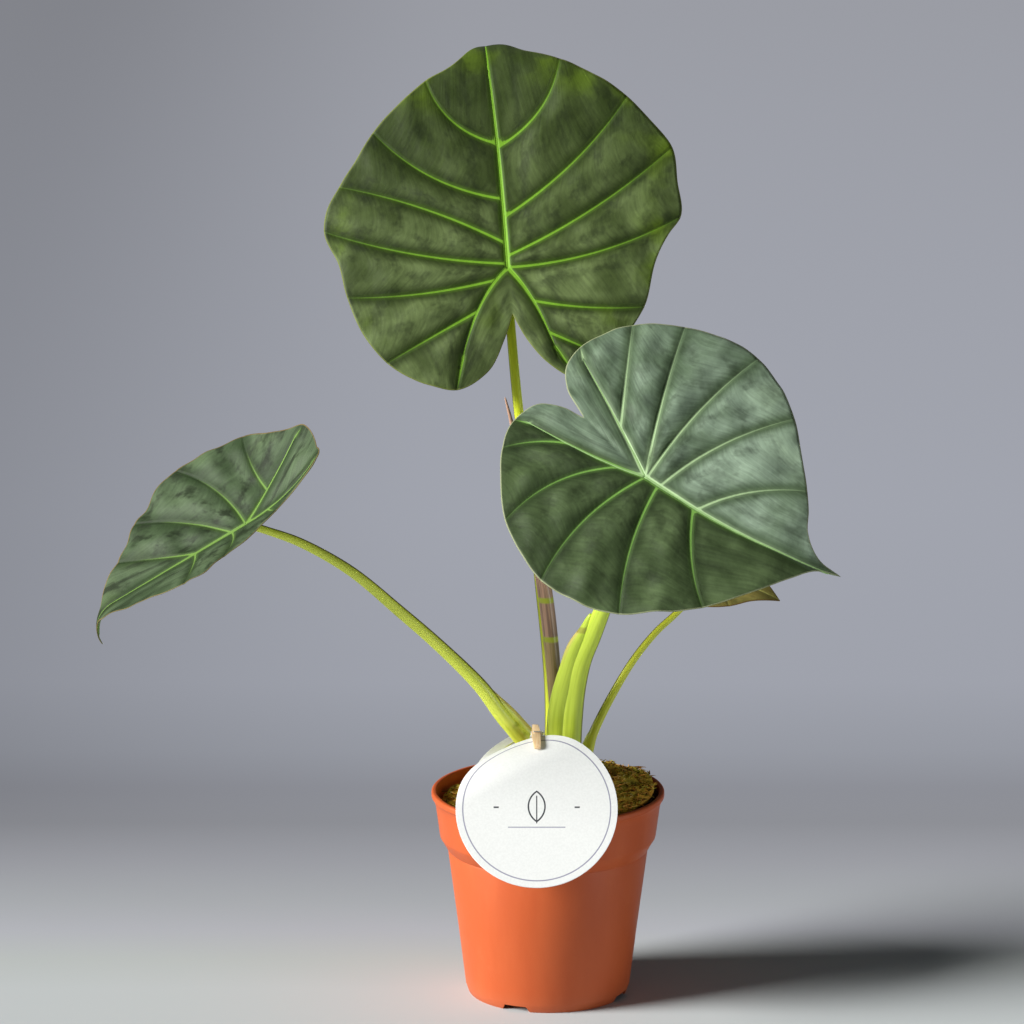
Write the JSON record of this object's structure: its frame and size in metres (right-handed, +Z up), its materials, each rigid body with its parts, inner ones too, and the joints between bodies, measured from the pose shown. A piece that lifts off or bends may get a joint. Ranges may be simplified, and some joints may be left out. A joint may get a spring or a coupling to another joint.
{
  "type": "potted alocasia",
  "caption": "Houseplant with broad ribbed shield-shaped leaves on tall stalks and a rolled new leaf, rooted in a moss-topped nursery pot with a round pegged-on card tag.",
  "frame": {"origin": "middle of the pot's foot ring, on the surface that the pot stands on", "axes": "+Z up along the pot's axis, -Y towards the side where the tag hangs, +X to the right seen from that side"},
  "size_m": [0.372, 0.2457, 0.4775],
  "materials": {
    "pot": "satin orange-brown moulded plastic",
    "soil": "loose dark potting mix",
    "moss": "dry green-brown moss with bark",
    "corm": "papery brown tuber skin",
    "stalk": "smooth yellow-green stalk",
    "blade_top": "velvety dark green with green veins",
    "blade_right": "velvety grey-green with mint veins",
    "blade_left": "velvety mid-green with pale green veins",
    "blade_small": "dull olive-brown old leaf",
    "new_leaf": "smooth purple-brown rolled leaf with green rings",
    "card": "matt white card",
    "peg": "bare pale wood",
    "spring": "bright drawn wire"
  },
  "bodies": {
    "root": {"pot": "pot", "soil": "soil", "moss": "moss", "corm": "corm", "stalk_top": "stalk", "stalk_right": "stalk", "stalk_left": "stalk", "stalk_small": "stalk", "blade_top": "blade_top", "blade_right": "blade_right", "blade_left": "blade_left", "blade_small": "blade_small", "new_leaf": "new_leaf", "tag_card": "card", "tag_strap": "card", "peg_front": "peg", "peg_back": "peg", "peg_spring": "spring"}
  },
  "joints": []
}
